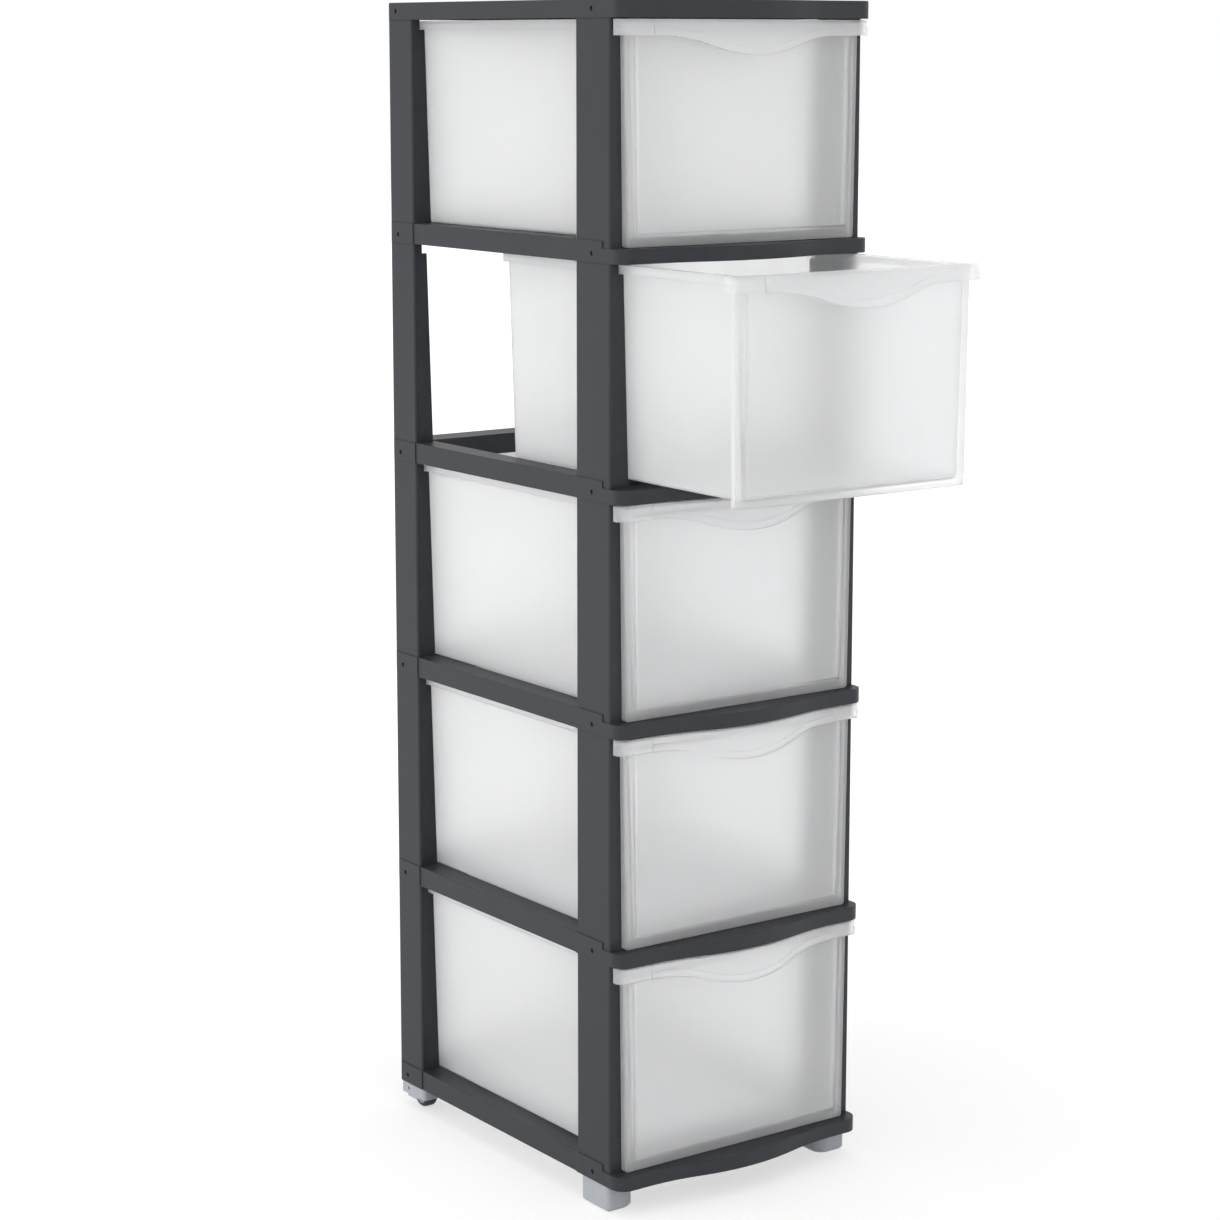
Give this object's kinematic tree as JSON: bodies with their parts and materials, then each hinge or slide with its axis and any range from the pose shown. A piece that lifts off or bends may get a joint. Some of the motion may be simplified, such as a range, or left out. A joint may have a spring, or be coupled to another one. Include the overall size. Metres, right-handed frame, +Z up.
{
  "type": "plastic drawer tower",
  "caption": "Tall plastic drawer tower: stacked dark frames under a top panel, with translucent sliding drawers, front feet and rear wheels.",
  "frame": {"origin": "centre of the bounding box, on the floor, with one drawer standing open as in the picture", "axes": "+Z up, the drawers slide out towards -Y, +X to the right of someone who faces the drawers"},
  "size_m": [0.265, 0.5137, 1.0235],
  "materials": {
    "frame_plastic": "fine moulded texture",
    "drawer_plastic": "frosted, translucent",
    "foot_plastic": "smooth grey",
    "hub_plastic": "smooth grey",
    "tyre_rubber": "dull",
    "axle_steel": "drawn"
  },
  "bodies": {
    "frame": {"top_panel": "frame_plastic", "tier_frame_1": "frame_plastic", "tier_frame_2": "frame_plastic", "tier_frame_3": "frame_plastic", "tier_frame_4": "frame_plastic", "tier_frame_5": "frame_plastic", "front_foot_left": "foot_plastic", "wheel_housing_left": "foot_plastic", "wheel_axle_left": "axle_steel", "front_foot_right": "foot_plastic", "wheel_housing_right": "foot_plastic", "wheel_axle_right": "axle_steel"},
    "drawer_1": {"drawer_1": "drawer_plastic"},
    "drawer_2": {"drawer_2": "drawer_plastic"},
    "drawer_3": {"drawer_3": "drawer_plastic"},
    "drawer_4": {"drawer_4": "drawer_plastic"},
    "drawer_5": {"drawer_5": "drawer_plastic"},
    "wheel_left": {"wheel_hub_left": "hub_plastic", "wheel_tyre_left": "tyre_rubber"},
    "wheel_right": {"wheel_hub_right": "hub_plastic", "wheel_tyre_right": "tyre_rubber"}
  },
  "joints": [
    {"name": "drawer_1_slide", "type": "slide", "parent": "frame", "child": "drawer_1", "axis": [0, -1, 0], "range_m": [0, 0.23]},
    {"name": "drawer_2_slide", "type": "slide", "parent": "frame", "child": "drawer_2", "axis": [0, -1, 0], "range_m": [-0.146, 0.084]},
    {"name": "drawer_3_slide", "type": "slide", "parent": "frame", "child": "drawer_3", "axis": [0, -1, 0], "range_m": [0, 0.23]},
    {"name": "drawer_4_slide", "type": "slide", "parent": "frame", "child": "drawer_4", "axis": [0, -1, 0], "range_m": [0, 0.23]},
    {"name": "drawer_5_slide", "type": "slide", "parent": "frame", "child": "drawer_5", "axis": [0, -1, 0], "range_m": [0, 0.23]},
    {"name": "wheel_left_spin", "type": "hinge", "parent": "frame", "child": "wheel_left", "pos_m": [-0.1166, 0.23535, 0.0125], "axis": [1, 0, 0], "continuous": true},
    {"name": "wheel_right_spin", "type": "hinge", "parent": "frame", "child": "wheel_right", "pos_m": [0.1166, 0.23535, 0.0125], "axis": [1, 0, 0], "continuous": true}
  ]
}
